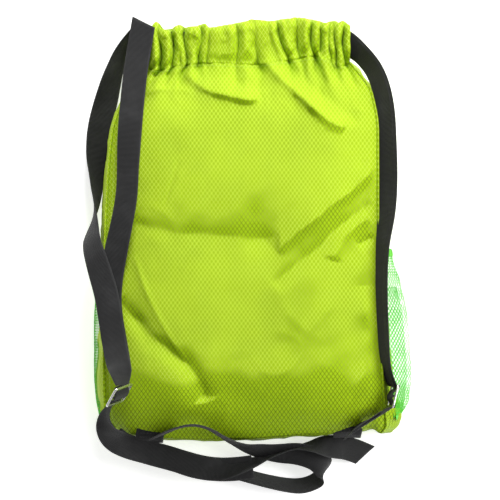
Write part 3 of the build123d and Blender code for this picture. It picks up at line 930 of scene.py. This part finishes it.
net(-1, "left", 0.0, 1.0, 0, -198, -21, 0.0003)
pocket_band(-1, "left", "elastic", -29.0, -20.4, 0.5, ["left_pocket_elastic"])
pocket_band(-1, "left", "binding", -199.0, -194.0, 0.0)
net(1, "right", 0.0, 1.0, 0, -198, -21, 0.0006)
net(1, "right.fold", 0.60, 1.0, 2.2, -196, -60, 0.001)
pocket_band(1, "right", "elastic", -29.0, -20.4, 0.5, ["right_pocket_elastic"])
pocket_band(1, "right", "binding", -199.0, -194.0, 0.0)


# ---- anchor tabs: webbing folded over the bag's bottom edge, with two rows of stitches ----
def anchor_tab(name, x, y, z):
    """x, y and z are the bottom edge's place in mm."""
    line = np.array([
        (x + 2, y + 7.5, z + 8.5), (x + 1, y + 3, z + 7), (x, y - 2.2, z + 2),
        (x, y - 5.4, z - 8), (x, y - 5.6, z - 20), (x, y - 4.4, z - 30),
    ]) * MM
    points = centreline([tuple(p) for p in line], 10)
    piece = ribbon(f"tab.{name}", points, FLAT, width=0.029)
    dress(piece, "bag", webbing_cloth, [f"{name}_anchor_tab"])
    for k, spot in enumerate((points[4], points[12])):
        run = [(spot[0] / MM + dx, spot[1] / MM, spot[2] / MM + 1.1) for dx in np.linspace(-12, 12, 9)]
        stitches(f"stitching.{name}.{k}", run, black_thread, lift=0.3)


anchor_tab("left", -105, -216.5, 40)
anchor_tab("right", 101, -211.5, 39)

# ---- sliders: the CAD metal, and the webbing threaded over the middle bar ----
# Each one's centre, and its directions across and along the webbing, in mm.
SLIDERS = {
    "left": ((-134.4, -171.1, 93.5), (17.5, 6, -24.9), (-10.5, -19, -11.96)),
    "right": ((147.5, -173, 62), (-6.1, -1, -30.4), (-5.6, -24.2, 1.9)),
}
# The webbing comes up through one slot, over the bar and down through the other: along, and above, in mm.
OVER_THE_BAR = [
    (-12, -2.4), (-9.5, -2.4), (-7, -1.2), (-5, 1.0), (-3, 2.3), (0, 2.6),
    (3, 2.3), (5, 1.0), (7, -1.2), (9.5, -2.4), (12, -2.4),
]


def slider_fold(name, centre, across, along):
    half_width, half_thick = 0.0124, 0.7
    across = np.array(across) / np.linalg.norm(across)
    along = np.array(along) / np.linalg.norm(along)
    normal = np.cross(across, along)
    normal *= 1 if normal[2] > 0 else -1
    line = centreline([tuple((np.array(centre) + along * a + normal * b) * MM) for a, b in OVER_THE_BAR], 8)
    steps = run_of(line)
    marks = np.linspace(-1, 1, 15)
    ring = [(m, 1) for m in marks] + [(m, -1) for m in marks[::-1]]
    verts, weave = [], []
    for i, point in enumerate(line):
        ahead = line[min(i + 1, len(line) - 1)] - line[max(i - 1, 0)]
        face = np.cross(across, ahead)
        face *= (1 if face @ normal > 0 else -1) / np.linalg.norm(face)
        for m, h in ring:
            edge = half_thick * (1 - 0.6 * abs(m) ** 10)
            verts.append(point + across * m * half_width + face * h * edge * MM)
            weave.append((m * HALF_WIDE, steps[i] / MM, 0))
    faces = tube_faces(len(line), len(ring))
    last = (len(line) - 1) * len(ring)
    faces.append(tuple(range(len(ring)))[::-1])
    faces.append(tuple(last + k for k in range(len(ring))))
    piece = add_mesh(f"fold.{name}", verts, faces, weave)
    dress(piece, f"{name}_slider", webbing_cloth, [f"{name}_slider_webbing"])


for name, (centre, across, along) in SLIDERS.items():
    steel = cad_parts[f"{name}_slider"]
    steel.data.materials.clear()
    steel.data.materials.append(nickel)
    slider_fold(name, centre, across, along)

# ---- floor and light ----
FLOOR_HALF, FLOOR_Z = 4, -0.0008
corners = [(x * FLOOR_HALF, y * FLOOR_HALF, FLOOR_Z) for x, y in ((-1, -1), (1, -1), (1, 1), (-1, 1))]
floor = add_mesh("floor", corners, [(0, 1, 2, 3)])
paper = Shader(
    "paper", Roughness=0.9, Base_Color=(0.93, 0.93, 0.93, 1), Specular_IOR_Level=0.1,
    Emission_Color=(1, 1, 1, 1), Emission_Strength=0.62,
)
paper.wire(Roughness=paper.fade(paper.clouds(40.0), 0.3, 0.7, 0.85, 0.95))
floor.data.materials.append(paper.material)

world = bpy.data.worlds.new("studio")
scene.world = world
world.use_nodes = True
sky = world.node_tree.nodes["Background"]
sky.inputs["Color"].default_value = (1, 1, 1, 1)
sky.inputs["Strength"].default_value = 0.40


def area_light(name, place, size, power):
    """A round lamp that faces the bag."""
    lamp = bpy.data.objects.new(name, bpy.data.lights.new(name, "AREA"))
    lamp.data.shape = "DISK"
    lamp.data.size = size
    lamp.data.energy = power
    lamp.location = place
    lamp.rotation_mode = "QUATERNION"
    lamp.rotation_quaternion = (-Vector(place)).to_track_quat("-Z", "Y")
    scene.collection.objects.link(lamp)


area_light("key", (0.1, 2.3, 1.3), 0.6, 61)
area_light("fill", (2.1, 0.1, 1.6), 1.4, 54)
